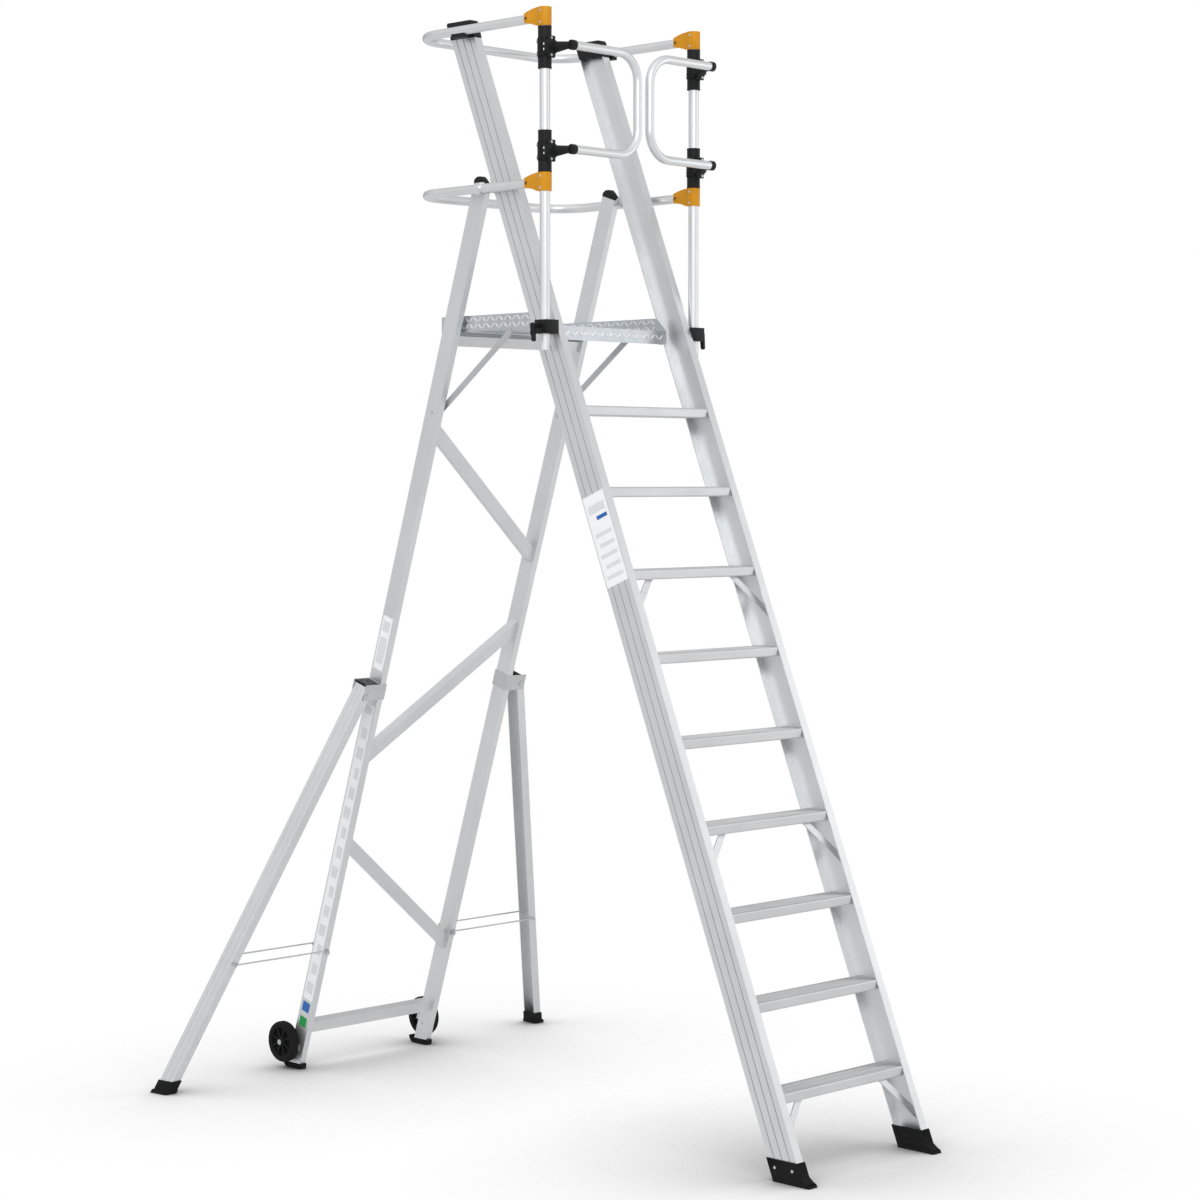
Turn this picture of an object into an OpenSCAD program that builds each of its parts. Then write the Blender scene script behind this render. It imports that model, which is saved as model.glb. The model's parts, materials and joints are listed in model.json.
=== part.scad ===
// Mobile ladder stand: folding platform ladder with nine treads, a guarded
// platform, a hinged rear frame on two transport wheels and two side outriggers.
// Millimetres, +Z up, +X to the right, the climber stands on the -Y side.
// The origin is on the floor, in the middle of the footprint.

/* [Front frame] */

// Overall width across the two front stiles
stand_width = 606; // [560:2:700]
// Lean of the front stiles from the vertical, in degrees
front_lean = 21.9; // [18:0.1:24]
// Depth of the front stile channel
stile_depth = 100; // [80:1:120]
// Flange width of the front stile channel
stile_flange = 29.5; // [22:0.5:40]
// Wall thickness of the front stile channel
stile_wall = 3; // [2:0.5:5]
// Height of the front stile tops above the floor
stile_top = 3418; // [3300:2:3500]
// Depth of the grooves along the outside of the front stiles
groove_depth = 1; // [0.5:0.1:1.5]
// Width of the grooves along the outside of the front stiles
groove_width = 3; // [2:0.5:5]

/* [Treads] */

// Height from one tread to the next
step_rise = 250; // [230:5:280]
// Depth of a tread from front to rear
tread_depth = 91; // [80:1:92]
// Height of the front face of a tread
tread_height = 30; // [25:1:40]
// Wall thickness of the hollow treads
tread_wall = 2.5; // [2:0.5:4]
// Radius of the rounded tread nose
tread_nose = 5; // [2:0.5:8]

/* [Rear frame] */

// Lean of the rear stiles from the vertical, in degrees
rear_lean = 17.9; // [14:0.1:22]
// Depth of the rear stile tube
rear_depth = 60; // [50:1:70]
// Width of the rear stile tube
rear_width = 22.4; // [20:0.2:30]
// Overall width across the rear stiles
rear_overall = 600.8; // [560:0.2:604]
// Wall thickness of the rear frame tubes and channels
rear_wall = 2.5; // [2:0.5:4]
// Width of the diagonal channels
brace_width = 42; // [30:1:50]
// Depth of the diagonal channels
brace_depth = 30; // [20:1:40]

/* [Platform] */

// Height of the standing surface above the floor
platform_height = 2503; // [2400:1:2600]
// Width of the platform tray
platform_width = 530; // [500:1:536]
// Depth of the platform tray from front to rear
platform_depth = 497; // [400:1:540]
// Height of the side lips above the standing surface
lip_height = 43; // [20:1:60]
// Sheet thickness of the tray
tray_sheet = 2.5; // [2:0.5:4]

/* [Guard rail] */

// Diameter of the rail tubes
rail_diameter = 29; // [25:1:34]
// Diameter of the posts
post_diameter = 32; // [28:1:38]
// Bend radius of the rails, on the tube axis
rail_bend = 125; // [80:5:180]
// Diameter of the gate tubes
gate_diameter = 27; // [20:1:32]
// Bend radius of the gates, on the tube axis
gate_bend = 85; // [60:5:120]
// Wall thickness of all round tubes
tube_wall = 2; // [1.5:0.5:3]

/* [Outriggers and wheels] */

// Angle between an outrigger and the rear stile, in degrees
outrigger_angle = 19.64; // [15:0.1:25]
// Depth of the outrigger channel
leg_depth = 58; // [50:1:60]
// Width of the outrigger channel
leg_width = 30; // [25:1:40]
// Diameter of the transport wheels
wheel_diameter = 140; // [100:2:160]
// Width of the transport wheels
wheel_width = 32; // [24:1:34]
// Diameter of the stay wire
stay_diameter = 5; // [4:0.5:6]

/* [Hidden] */

$fn = 48;

big = 4000;
// Running clearance on the radius of every pivot
fit = 0.06;

// Front stile front face and rear stile front face, where they meet the floor
front_y = -1188;
rear_y = 1086;

stile_out = stand_width / 2;
stile_in = stile_out - stile_flange;
web_in = stile_out - stile_wall;
stile_run = stile_depth / cos(front_lean);
stile_foot = 8;
boot_top = 66;
boot_rivets = [0.2, 0.82];

rear_out = rear_overall / 2;
rear_in = rear_out - rear_width;
rear_top = 3092;
rear_foot = 14;
brace_y = 12;

// Hinge between the frames
hinge_y = 127.6;
hinge_z = 2935;
hinge_pin_r = 4;
bracket_rivets = [3194.5, 3235.5];

// Platform pivot tube
pivot_y = -66;
pivot_z = 2480;
pivot_r = 11;

// Platform struts, from the rear stiles to the sides of the tray
strut_low_y = 392;
strut_low_z = 2240;
strut_top_y = 62;
strut_top_z = 2487;
strut_x = 267;
strut_thick = 4;
strut_width = 20;

tray_x = platform_width / 2;
tray_front = -112;
tray_rear = tray_front + platform_depth;
tray_under = platform_height - tray_sheet;
lip_low = platform_height - 8;
front_lip = 43;

// Guard rail
post_x = 335;
post_y = -165;
post_low = 2421;
post_above = 20;
rail_r = rail_diameter / 2;
post_r = post_diameter / 2;
top_rail_z = 3437;
knee_rail_z = 2935;
rail_front = -121;
rail_back = 452;
top_pivot_y = 232;
post_pivot_y = -101;
post_bolt_r = 3;
connector_wall = 3.5;
rail_slot = rail_r + 1.2;
sleeve_r = 21;
sleeve_end = 64;
hinge_half = 27;
gate_y = -263;
gate_top_z = 3343;
gate_low_z = 3028;
gate_start = 314;
gate_end = 27;
gate_r = gate_diameter / 2;
clamp_low = 2471;
clamp_top = 2514;
clamp_front = -194;
lever_y = -160;
lever_z = 2496;
lever_r = 4;

// Outriggers, measured in the plane of the rear frame
leg_pivot_x = 348;
leg_pivot_z = 1385;
leg_pivot_y = rear_depth / 2;
leg_y = (rear_depth - leg_depth) / 2;
leg_wall = 3;
leg_above = 17;
leg_below = 1500;
leg_pin_r = 5;
stay_r = stay_diameter / 2;
stay_level = 448;
stay_on_leg = (leg_pivot_z - stay_level) / cos(outrigger_angle);
stay_leg_x = leg_pivot_x + stay_on_leg * sin(outrigger_angle);
stud_x = 289;
stay_gap = 4;
stud_z = stay_level - stay_r - 4.3;

// Wheels
axle_y = 81;
axle_z = 70.6;
axle_r = 5;
plate_bolt_y = 36;
wheel_in = 306;

function front_face(z) = front_y + z * tan(front_lean);

// Distance along the stile of a boot rivet 42 above the floor
function boot_rivet_z(f) =
  (42 + f * stile_depth * sin(front_lean)) / cos(front_lean);

// ---- placing helpers ----

// Local frame of the front stiles: y runs into the depth, z along the stile
module along_front() {
  translate([0, front_y, 0]) rotate([-front_lean, 0, 0]) children();
}

// Local frame of the rear stiles: y runs into the depth, z along the stile
module along_rear() {
  translate([0, rear_y, 0]) rotate([rear_lean, 0, 0]) children();
}

// Local frame of the right outrigger, z pointing up along the leg
module along_leg() {
  along_rear() translate([leg_pivot_x, 0, leg_pivot_z])
    rotate([0, -outrigger_angle, 0]) children();
}

module left() {
  mirror([1, 0, 0]) children();
}

module both() {
  children();
  left() children();
}

// Cylinder along +X starting at x
module xcyl(x, y, z, r, h) {
  translate([x, y, z]) rotate([0, 90, 0]) cylinder(r = r, h = h);
}

// Cylinder along +Y starting at y
module ycyl(x, y, z, r, h) {
  translate([x, y, z]) rotate([-90, 0, 0]) cylinder(r = r, h = h);
}

module block(x0, x1, y0, y1, z0, z1) {
  translate([x0, y0, z0]) cube([x1 - x0, y1 - y0, z1 - z0]);
}

// Keeps what lies above the floor
module above(z) {
  intersection() {
    children();
    block(-big, big, -big, big, z, big);
  }
}

module below(z) {
  intersection() {
    children();
    block(-big, big, -big, big, -big, z);
  }
}

// Flat plate in the Y-Z plane, from x0 to x1
module side_plate(x0, x1, points) {
  translate([x0, 0, 0]) rotate([90, 0, 90])
    linear_extrude(x1 - x0) polygon(points);
}

// ---- front frame ----

module stile_profile() {
  difference() {
    translate([stile_in, 0]) square([stile_flange, stile_depth]);
    translate([stile_in - 1, stile_wall])
      square([stile_flange - stile_wall + 1, stile_depth - 2 * stile_wall]);
    for (f = [0.22, 0.5, 0.78])
      translate([stile_out - groove_depth, f * stile_depth - groove_width / 2])
        square([groove_depth + 1, groove_width]);
  }
}

module front_stile() {
  below(stile_top) above(stile_foot) along_front()
    translate([0, 0, -100]) linear_extrude(big) stile_profile();
}

module front_stile_left() {
  color("silver") left() front_stile();
}

module front_stile_right() {
  color("silver") front_stile();
}

// Caps closing the stile tops, each with the bearing of the top rail
module stile_caps() {
  y0 = front_face(stile_top);
  y1 = y0 + stile_run;
  color("#151515") both() difference() {
    union() {
      side_plate(stile_in - 1.5, stile_out + 1.5,
        [[y0 - 2, stile_top], [y1 + 2, stile_top], [y1 + 22, stile_top + 50],
         [y1 + 18, stile_top + 56], [y0 + 20, stile_top + 56],
         [y0 + 14, stile_top + 50]]);
      xcyl(stile_out, top_pivot_y, top_rail_z, 12, 5);
    }
    xcyl(stile_out - 12, top_pivot_y, top_rail_z, hinge_pin_r + fit, 40);
  }
}

// Boots around the stile ends, cut level on top, with a curved toe
module front_feet() {
  color("#151515") both() difference() {
    union() {
      below(boot_top) above(0) along_front() translate([stile_in - 4, -4, -60])
        cube([stile_flange + 7.5, stile_depth + 8, 260]);
      side_plate(stile_in - 4, stile_out + 3.5,
        [[front_y - 24, 0], [front_y + 10, 0], [front_y + 16, 34],
         [front_y + 4, 24], [front_y - 10, 14], [front_y - 22, 8]]);
    }
    above(stile_foot) along_front() translate([stile_in - 0.05, -0.05, -60])
      cube([stile_flange + 0.1, stile_depth + 0.1, 300]);
    above(stile_foot + 6) below(boot_top - 8) along_front()
      translate([stile_in - 20, 12, -60]) cube([17.6, stile_depth - 24, 300]);
    along_front() for (f = boot_rivets)
      xcyl(stile_out - 1, f * stile_depth, boot_rivet_z(f), 2.5, 9);
  }
}

module foot_rivets() {
  color("#c8c9cb") both() along_front() for (f = boot_rivets) {
    xcyl(stile_out + 3.5, f * stile_depth, boot_rivet_z(f), 4.5, 1.8);
    xcyl(stile_out, f * stile_depth, boot_rivet_z(f), 2.5, 3.5);
  }
}

module tread_profile() {
  difference() {
    hull() {
      translate([tread_nose, -tread_nose]) circle(tread_nose);
      translate([tread_nose, tread_nose - tread_height]) circle(tread_nose);
      translate([tread_depth - 2, -tread_height]) square([2, tread_height]);
    }
    translate([tread_wall, tread_wall - tread_height])
      square([tread_depth / 2 - 1.5 * tread_wall, tread_height - 2 * tread_wall]);
    translate([tread_depth / 2 + tread_wall / 2, tread_wall - tread_height])
      square([tread_depth / 2 - 1.5 * tread_wall, tread_height - 2 * tread_wall]);
    for (i = [0 : 7])
      translate([9 + i * 10, -1]) square([4, 2]);
  }
}

module tread(number) {
  z = number * step_rise;
  y = front_face(z);
  color("#c9cacc") difference() {
    translate([-web_in + 0.1, y, z]) rotate([90, 0, 90])
      linear_extrude(2 * web_in - 0.2) tread_profile();
    both() along_front() translate([stile_in - 0.6, -40, z - 200])
      cube([60, 44, 500]);
    both() along_front() translate([stile_in - 0.6, stile_depth - 4, z - 200])
      cube([60, 44, 500]);
  }
}

module tread_1() {
  tread(1);
}

module tread_2() {
  tread(2);
}

module tread_3() {
  tread(3);
}

module tread_4() {
  tread(4);
}

module tread_5() {
  tread(5);
}

module tread_6() {
  tread(6);
}

module tread_7() {
  tread(7);
}

module tread_8() {
  tread(8);
}

module tread_9() {
  tread(9);
}

// Diagonal flat bars below the first, fourth and seventh tread, in the lean
// of the stiles: from the underside of the tread down to the web of the stile
module tread_braces() {
  d = 24;
  color("#bfc0c2") both() for (number = [1, 4, 7]) {
    under = number * step_rise - tread_height;
    z = (under + d * sin(front_lean)) / cos(front_lean);
    below(under) along_front() translate([0, d + 4, z]) rotate([90, 0, 0])
      linear_extrude(4)
        polygon([[168, 10], [198, 10], [206, 0], [web_in - 0.2, -100],
          [web_in - 0.2, -136], [176, 0]]);
  }
}

// Tube carrying the platform, with an eye plate on each stile
module cross_tube() {
  color("#c4c5c7") difference() {
    union() {
      xcyl(-297, pivot_y, pivot_z, pivot_r, 594);
      both() side_plate(285, 291,
        [[front_face(2462) + stile_run, 2462],
         [pivot_y + 8, 2462], [pivot_y + 18, pivot_z], [pivot_y + 8, 2500],
         [front_face(2500) + stile_run, 2500]]);
    }
    xcyl(-310, pivot_y, pivot_z, pivot_r - tube_wall, 620);
  }
}

// Clevis on the rear flange of each front stile
module hinge_brackets() {
  color("#b9b8b0") both() difference() {
    union() {
      along_front() translate([276, stile_depth, 3190]) cube([26, 4, 50]);
      for (x = [279, 295]) hull() {
        along_front() translate([x, stile_depth + 3, 3198]) cube([4, 1, 30]);
        xcyl(x, hinge_y, hinge_z, 9, 4);
      }
    }
    xcyl(270, hinge_y, hinge_z, hinge_pin_r, 40);
    along_front() for (z = bracket_rivets)
      translate([281, stile_depth - 1, z]) rotate([-90, 0, 0])
        cylinder(r = 3, h = 8);
  }
}

module hinge_pins() {
  color("#9a9b9d") both() {
    xcyl(276.5, hinge_y, hinge_z, hinge_pin_r, 40);
    xcyl(274.5, hinge_y, hinge_z, 7, 2.5);
    along_front() for (z = bracket_rivets) {
      translate([281, stile_depth, z]) rotate([-90, 0, 0])
        cylinder(r = 3, h = 6);
    }
  }
}

// ---- platform ----

module platform() {
  z0 = lip_low;
  z1 = platform_height + lip_height;
  color("#c7cbd0") union() {
    block(-tray_x, tray_x, tray_front, tray_rear, tray_under, platform_height);
    block(-tray_x, tray_x, tray_front, tray_front + tray_sheet,
      platform_height - front_lip, platform_height);
    block(-tray_x, tray_x, tray_rear - tray_sheet, tray_rear,
      lip_low, platform_height);
    both() {
      side_plate(tray_x - tray_sheet, tray_x,
        [[tray_front, z0], [tray_rear, z0], [tray_rear, z1],
         [tray_front + 44, z1], [tray_front, platform_height]]);
      difference() {
        side_plate(200, 208,
          [[pivot_y - 18, tray_under + 0.5], [pivot_y - 16, pivot_z],
           [pivot_y - 8, pivot_z - 16], [pivot_y + 8, pivot_z - 16],
           [pivot_y + 16, pivot_z], [pivot_y + 18, tray_under + 0.5]]);
        xcyl(190, pivot_y, pivot_z, pivot_r + fit, 30);
      }
    }
  }
}

// ---- struts ----

module strut() {
  color("#b4b1ab") difference() {
    union() {
      hull() {
        xcyl(strut_x, strut_low_y, strut_low_z, strut_width / 2, strut_thick);
        xcyl(strut_x, strut_top_y, strut_top_z, strut_width / 2, strut_thick);
      }
      xcyl(strut_x, strut_top_y, strut_top_z, 6, strut_thick + 1.2);
    }
    xcyl(strut_x - 5, strut_low_y, strut_low_z, hinge_pin_r + fit, 20);
  }
}

module strut_left() {
  left() strut();
}

module strut_right() {
  strut();
}

// ---- rear frame ----

module rear_stile() {
  color("silver") difference() {
    above(rear_foot) along_rear() difference() {
      block(rear_in, rear_out, 0, rear_depth, -60, rear_top);
      block(rear_in + rear_wall, rear_out - rear_wall,
        rear_wall, rear_depth - rear_wall, -80, rear_top + 10);
    }
    along_rear() ycyl(stud_x, -10, stud_z, 4, 90);
    along_rear() xcyl(rear_in - 10, plate_bolt_y, axle_z, axle_r, 60);
  }
}

module rear_stile_left() {
  left() rear_stile();
}

module rear_stile_right() {
  rear_stile();
}

module rear_caps() {
  color("#151515") both() along_rear() {
    translate([rear_in - 1, 0, 0]) rotate([90, 0, 90])
      linear_extrude(rear_width + 2)
        polygon([[0.6, rear_top], [rear_depth + 1, rear_top],
          [rear_depth + 1, rear_top + 12], [rear_depth - 8, rear_top + 22],
          [rear_depth - 22, rear_top + 27], [26, rear_top + 22],
          [8, rear_top + 11]]);
    block(rear_in + rear_wall + 0.1, rear_out - rear_wall - 0.1,
      rear_wall + 0.1, rear_depth - rear_wall - 0.1, rear_top - 12, rear_top);
  }
}

// Thin sole under each rear stile, curling up behind it
module rear_feet() {
  y0 = rear_y - 8;
  y1 = rear_y + rear_depth / cos(rear_lean);
  color("#151515") both() difference() {
    side_plate(rear_in - 2, rear_out + 2,
      [[y0, 0], [y1 - 4, 0], [y1 + 9, 4], [y1 + 18, 13], [y1 + 21, 26],
       [y1 + 14, 27], [y1 + 8, 20], [y1, 19], [y0 - 4, 19], [y0 - 3, 8]]);
    above(rear_foot) along_rear() block(rear_in - 0.05, rear_out + 0.05,
      -0.05, rear_depth + 0.05, -60, 80);
  }
}

// Channel between the rear stiles, from (-x, z_left) to (x, z_right)
module rear_channel(z_left, z_right, width) {
  slope = atan((z_right - z_left) / (2 * rear_in));
  color("#c9cacc") along_rear() intersection() {
    translate([0, 0, (z_left + z_right) / 2]) rotate([0, -slope, 0])
      difference() {
        block(-500, 500, brace_y, brace_y + brace_depth, -width / 2, width / 2);
        block(-510, 510, brace_y + rear_wall, brace_y + brace_depth + 1,
          rear_wall - width / 2, width / 2 - rear_wall);
      }
    block(0.05 - rear_in, rear_in - 0.05, -10, 100, 0, 3000);
  }
}

module rear_brace_upper() {
  rear_channel(2286, 1851, brace_width);
}

module rear_brace_middle() {
  rear_channel(1149, 1584, brace_width);
}

module rear_brace_lower() {
  rear_channel(834, 401, brace_width);
}

module rear_bottom_bar() {
  rear_channel(150, 150, 40);
}

module rear_cross_bar() {
  rear_channel(2588, 2588, 34);
}

// Tongues welded to the rear stile tops, between the clevis cheeks
module hinge_tongues() {
  color("#b9b8b0") both() difference() {
    hull() {
      along_rear() translate([284, -1, 3074]) cube([10, 1, 16]);
      xcyl(284, hinge_y, hinge_z, 9, 10);
    }
    xcyl(270, hinge_y, hinge_z, hinge_pin_r + fit, 40);
  }
}

// Axle plates on the outside of the rear stiles, with the axle stubs
module wheel_axles() {
  color("#9a9b9d") both() along_rear() {
    block(rear_out, rear_out + 4, plate_bolt_y - 14, axle_y + 12,
      axle_z - 12, axle_z + 12);
    xcyl(rear_out + 4, axle_y, axle_z, axle_r, 38);
    xcyl(wheel_in + wheel_width + 0.6, axle_y, axle_z, 9, 3);
    xcyl(rear_in - 3, plate_bolt_y, axle_z, axle_r, rear_width + 3);
  }
}

// Saddles around the rear stiles that carry the outriggers
module outrigger_brackets() {
  color("#b9bbbe") both() along_rear() difference() {
    union() {
      block(rear_in - 3, 364, -3, 0, 1362, 1416);
      block(rear_in - 3, 364, rear_depth, rear_depth + 3, 1362, 1416);
      block(rear_in - 3, rear_in, -3, rear_depth + 3, 1362, 1416);
      block(rear_out, rear_out + 3, 0, rear_depth, 1362, 1416);
    }
    ycyl(leg_pivot_x, -10, leg_pivot_z, leg_pin_r, 90);
  }
}

// Pivot pins of the outriggers and struts, and the studs that hold the stays
module rear_pins() {
  color("#9a9b9d") both() {
    along_rear() {
      ycyl(leg_pivot_x, -5, leg_pivot_z, leg_pin_r, rear_depth + 10);
      ycyl(leg_pivot_x, -7, leg_pivot_z, 8, 4);
      ycyl(leg_pivot_x, rear_depth + 3, leg_pivot_z, 8, 4);
      ycyl(stud_x, -9, stud_z, 4, rear_depth + 18);
      ycyl(stud_x, -11, stud_z, 7, 3);
      ycyl(stud_x, rear_depth + 8, stud_z, 7, 3);
    }
    xcyl(strut_x - 3, strut_low_y, strut_low_z, hinge_pin_r, rear_in - strut_x + 3);
    xcyl(strut_x - 4, strut_low_y, strut_low_z, 8, 3.6);
    xcyl(strut_x + strut_thick + 0.4, strut_low_y, strut_low_z, 8,
      rear_in - strut_x - strut_thick - 0.4);
    xcyl(rear_out, strut_low_y, strut_low_z, 6, 2);
  }
}

module wheel() {
  color("#151515") along_rear() translate([0, axle_y, axle_z]) difference() {
    rotate([0, 90, 0]) rotate_extrude($fn = 96) difference() {
      union() {
        translate([axle_r + fit, wheel_in]) square([14, wheel_width]);
        translate([axle_r + 10, wheel_in + 9]) square([40, wheel_width - 18]);
        translate([wheel_diameter / 2 - 22, wheel_in])
          square([18, wheel_width]);
        translate([wheel_diameter / 2 - 5, wheel_in + 4])
          square([5, wheel_width - 8]);
      }
      translate([0, wheel_in - 1]) square([axle_r + fit, wheel_width + 2]);
    }
  }
}

module wheel_left() {
  left() wheel();
}

module wheel_right() {
  wheel();
}

// ---- outriggers ----

module outrigger_leg() {
  color("silver") above(24) along_leg() difference() {
    block(-leg_width / 2, leg_width / 2, leg_y, leg_y + leg_depth,
      -leg_below, leg_above);
    block(-leg_width, leg_width / 2 - leg_wall, leg_y + leg_wall,
      leg_y + leg_depth - leg_wall, -leg_below - 10, leg_above + 10);
    ycyl(0, -20, 0, leg_pin_r + fit, 120);
    ycyl(0, -20, -stay_on_leg, stay_r + fit, 120);
    for (f = [0.3, 0.7])
      block(leg_width / 2 - 1, leg_width, leg_y + f * leg_depth - 1.5,
        leg_y + f * leg_depth + 1.5, -leg_below - 10, leg_above + 10);
  }
}

module outrigger_leg_left() {
  left() outrigger_leg();
}

module outrigger_leg_right() {
  outrigger_leg();
}

// Foot with a flared sole, and the cap on the top end
module outrigger_ends() {
  color("#151515") {
    difference() {
      union() {
        below(42) above(0) along_leg() block(-leg_width / 2 - 3,
          leg_width / 2 + 4, leg_y - 3, leg_y + leg_depth + 3,
          -leg_below - 60, 0);
        below(12) above(0) along_leg() block(-leg_width / 2 - 4,
          leg_width / 2 + 10, leg_y - 5, leg_y + leg_depth + 5,
          -leg_below - 60, 0);
      }
      above(24) along_leg() block(-leg_width / 2 - 0.05, leg_width / 2 + 0.05,
        leg_y - 0.05, leg_y + leg_depth + 0.05, -leg_below - 60, 0);
    }
    along_leg() difference() {
      union() {
        block(-leg_width / 2, leg_width / 2 + 1, leg_y, leg_y + leg_depth,
          leg_above, leg_above + 5);
        block(-leg_width / 2 + 1, leg_width / 2 - leg_wall - 0.1,
          leg_y + leg_wall + 0.1, leg_y + leg_depth - leg_wall - 0.1,
          leg_above - 9, leg_above);
      }
    }
  }
}

module outrigger_ends_left() {
  left() outrigger_ends();
}

module outrigger_ends_right() {
  outrigger_ends();
}

// Wire hoop: one end runs through the leg, two arms hook over the studs
module stay() {
  y0 = -stay_gap;
  y1 = rear_depth + stay_gap;
  reach = stud_x - 7;
  color("#aeb0b3") along_rear() union() {
    ycyl(stay_leg_x, y0 - 4, stay_level, stay_r, y1 - y0 + 8);
    for (y = [y0, y1]) {
      xcyl(reach, y, stay_level, stay_r, stay_leg_x - reach);
      translate([reach, y, stay_level - 14]) cylinder(r = stay_r, h = 14);
      translate([reach, y, stay_level]) sphere(stay_r);
    }
    ycyl(stay_leg_x, y0 - 6, stay_level, 5, 3);
    ycyl(stay_leg_x, y1 + 3, stay_level, 5, 3);
  }
}

module stay_left() {
  left() stay();
}

module stay_right() {
  stay();
}

// ---- guard rail ----

module ring_section(r) {
  difference() {
    circle(r);
    circle(r - tube_wall);
  }
}

// U-shaped tube lying flat at height z, its front ends cross-drilled
module rail_loop(z) {
  leg = rail_back - rail_bend - rail_front;
  run = 2 * (post_x - rail_bend);
  color("#c9cacc") union() {
    both() {
      difference() {
        ycyl(post_x, rail_front, z, rail_r, leg);
        ycyl(post_x, rail_front - 1, z, rail_r - tube_wall, leg + 2);
        xcyl(post_x - 30, post_pivot_y, z, post_bolt_r + fit, 60);
      }
      translate([post_x - rail_bend, rail_back - rail_bend, z])
        rotate_extrude(angle = 90) translate([rail_bend, 0])
          ring_section(rail_r);
    }
    difference() {
      xcyl(rail_bend - post_x, rail_back, z, rail_r, run);
      xcyl(rail_bend - post_x - 1, rail_back, z, rail_r - tube_wall, run + 2);
    }
  }
}

// Collar around the leg of the knee rail, its pivot boss facing the stile
module rail_collar(y, z) {
  difference() {
    union() {
      ycyl(post_x, y - 13, z, 20, 26);
      xcyl(stile_out + 5.5, y, z, 11, 16);
    }
    ycyl(post_x, y - 20, z, rail_r, 40);
    xcyl(stile_out - 5, y, z, hinge_pin_r + fit, 24);
  }
}

// Saddle under the leg of the top rail, its pivot boss facing the stile
module rail_saddle(y, z) {
  difference() {
    union() {
      block(post_x - 13, post_x + 11, y - 40, y + 16, z - 22, z - 4);
      xcyl(stile_out + 5.5, y, z, 11, 16);
    }
    ycyl(post_x, y - 60, z, rail_r, 90);
  }
}

module top_rail() {
  rail_loop(top_rail_z);
}

module top_collars() {
  color("#151515") both() union() {
    rail_saddle(top_pivot_y, top_rail_z);
    xcyl(stile_out - 11, top_pivot_y, top_rail_z, hinge_pin_r, 18);
  }
}

module knee_rail() {
  rail_loop(knee_rail_z);
}

module knee_collars() {
  color("#c9cacc") both() rail_collar(hinge_y, knee_rail_z);
}

module post() {
  color("#cfd0d2") difference() {
    translate([post_x, post_y, post_low])
      cylinder(r = post_r, h = top_rail_z + post_above - post_low);
    translate([post_x, post_y, post_low + 4])
      cylinder(r = post_r - tube_wall, h = top_rail_z + 40 - post_low);
  }
}

module post_left() {
  left() post();
}

module post_right() {
  post();
}

// Connector on the post: the rail end sits free between its two cheeks
module connector(z, bore_top) {
  cheek = [[post_y - 10, z - 28], [post_y + 18, z - 28],
    [post_y + 34, z - 21], [post_y + 72, z - 14], [post_y + 72, z + 15],
    [post_y + 54, z + 21], [post_y + 33, z + 26], [post_y + 8, z + 29],
    [post_y - 10, z + 29]];
  difference() {
    union() {
      translate([post_x, post_y, z - 28]) cylinder(r = post_r + 5, h = 57);
      for (x = [post_x - rail_slot - connector_wall, post_x + rail_slot])
        side_plate(x, x + connector_wall, cheek);
    }
    translate([post_x, post_y, z - 40])
      cylinder(r = post_r, h = bore_top + 40);
    block(post_x - rail_slot, post_x + rail_slot, post_y + post_r + 3,
      post_y + 90, z - 40, z + 40);
    xcyl(post_x - 40, post_pivot_y, z, post_bolt_r, 80);
  }
}

// The top rail turns on a bolt, the knee rail is held loose on two short ones
module connector_bolts(z, through) {
  cheek_out = rail_slot + connector_wall;
  xcyl(post_x - cheek_out - 2, post_pivot_y, z, 6, 2);
  xcyl(post_x + cheek_out, post_pivot_y, z, 6, 2);
  if (through)
    xcyl(post_x - cheek_out, post_pivot_y, z, post_bolt_r, 2 * cheek_out);
}

module connector_pair() {
  color("#d98a0b") {
    connector(top_rail_z, post_above);
    connector(knee_rail_z, 60);
  }
  color("#151515") {
    connector_bolts(top_rail_z, true);
    connector_bolts(knee_rail_z, false);
  }
}

module connectors_left() {
  left() connector_pair();
}

module connectors_right() {
  connector_pair();
}

module post_ring(z0, z1, r, bore) {
  difference() {
    translate([post_x, post_y, z0]) cylinder(r = r, h = z1 - z0);
    translate([post_x, post_y, z0 - 1]) cylinder(r = bore, h = z1 - z0 + 2);
  }
}

// Sleeves fixed on the post above and below each gate hinge
module gate_sleeves() {
  color("#151515") for (z = [gate_top_z, gate_low_z]) {
    post_ring(z + hinge_half + 0.3, z + sleeve_end, sleeve_r, post_r);
    post_ring(z - sleeve_end, z - hinge_half - 0.3, sleeve_r, post_r);
  }
}

module gate_sleeves_left() {
  left() gate_sleeves();
}

module gate_sleeves_right() {
  gate_sleeves();
}

// Clamp block gripping the post against the stile
module clamp() {
  color("#151515") difference() {
    side_plate(stile_out + 1, post_x + 22,
      [[clamp_front, clamp_low], [post_y + 24, clamp_low],
       [post_y + 24, clamp_top], [clamp_front, clamp_top]]);
    translate([post_x, post_y, clamp_low - 10]) cylinder(r = post_r, h = 80);
    xcyl(post_x + post_r + 1, lever_y, lever_z, lever_r + fit, 30);
  }
}

module clamp_left() {
  left() clamp();
}

module clamp_right() {
  clamp();
}

module lever() {
  color("#151515") union() {
    xcyl(post_x + post_r + 1.5, lever_y, lever_z, lever_r, 34);
    xcyl(post_x + 22.3, lever_y, lever_z, 8, 28.7);
    hull() {
      xcyl(post_x + 43, lever_y, lever_z, 8, 9);
      xcyl(post_x + 43, lever_y - 4, lever_z - 44, 6, 9);
    }
  }
}

module lever_left() {
  left() lever();
}

module lever_right() {
  lever();
}

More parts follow.
